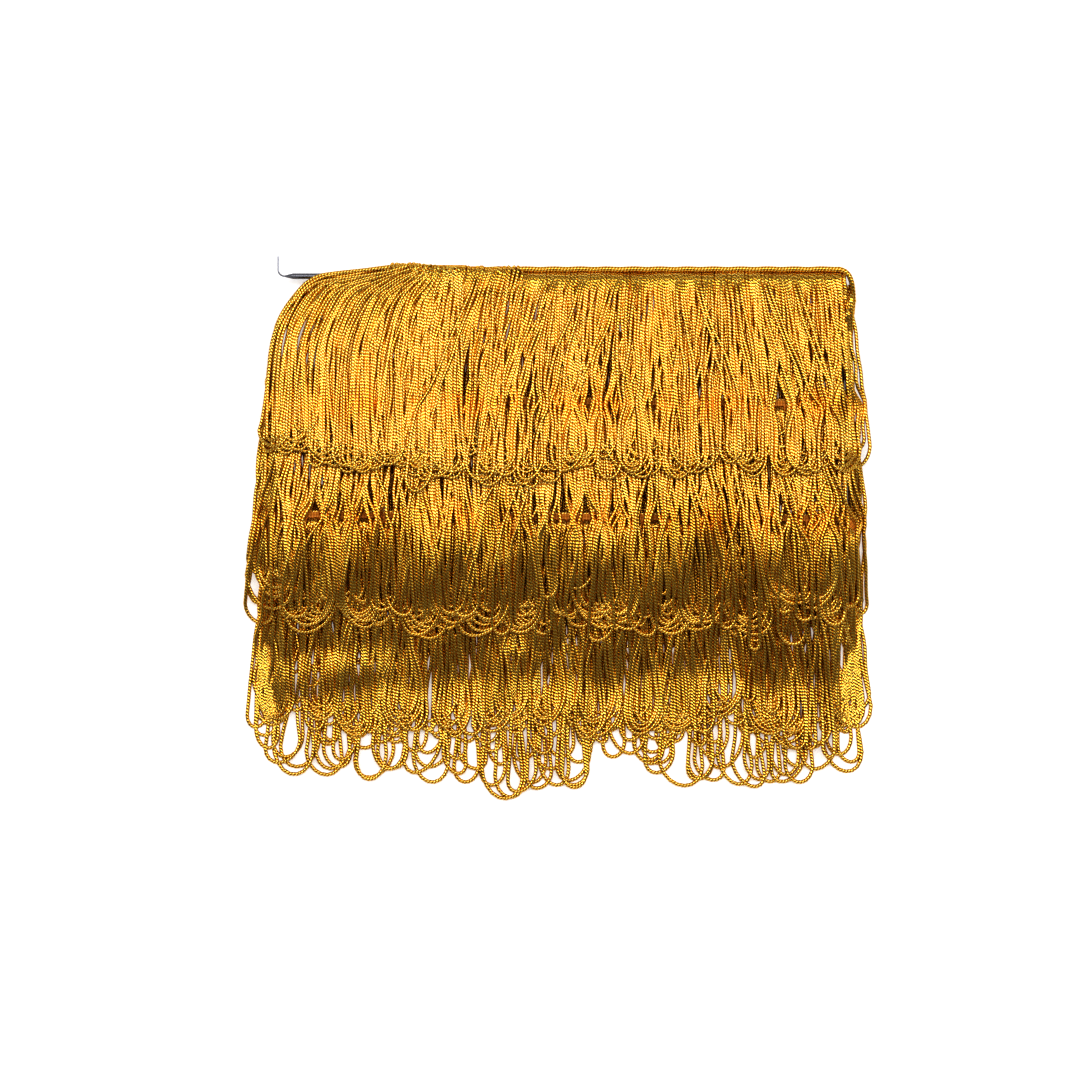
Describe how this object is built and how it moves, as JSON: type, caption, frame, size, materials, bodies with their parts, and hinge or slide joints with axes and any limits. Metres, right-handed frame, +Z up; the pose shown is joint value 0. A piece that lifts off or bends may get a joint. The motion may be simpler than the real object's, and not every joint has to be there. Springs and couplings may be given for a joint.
{
  "type": "looped fringe trim wound on a wire frame",
  "caption": "Gold looped cord fringe wound in rising turns round a flat wire frame, lying on its back with its loop ends spread below.",
  "frame": {"origin": "middle of the underside, on the surface that the winding lies on", "axes": "+X across the winding, +Y towards its top edge, +Z up from the surface"},
  "size_m": [0.2912, 0.254, 0.0185],
  "materials": {
    "gold_cord": "silky chain cord",
    "bright_wire": "bright"
  },
  "bodies": {
    "root": {"fringe_trim": "gold_cord", "core_wire": "bright_wire"}
  },
  "joints": []
}
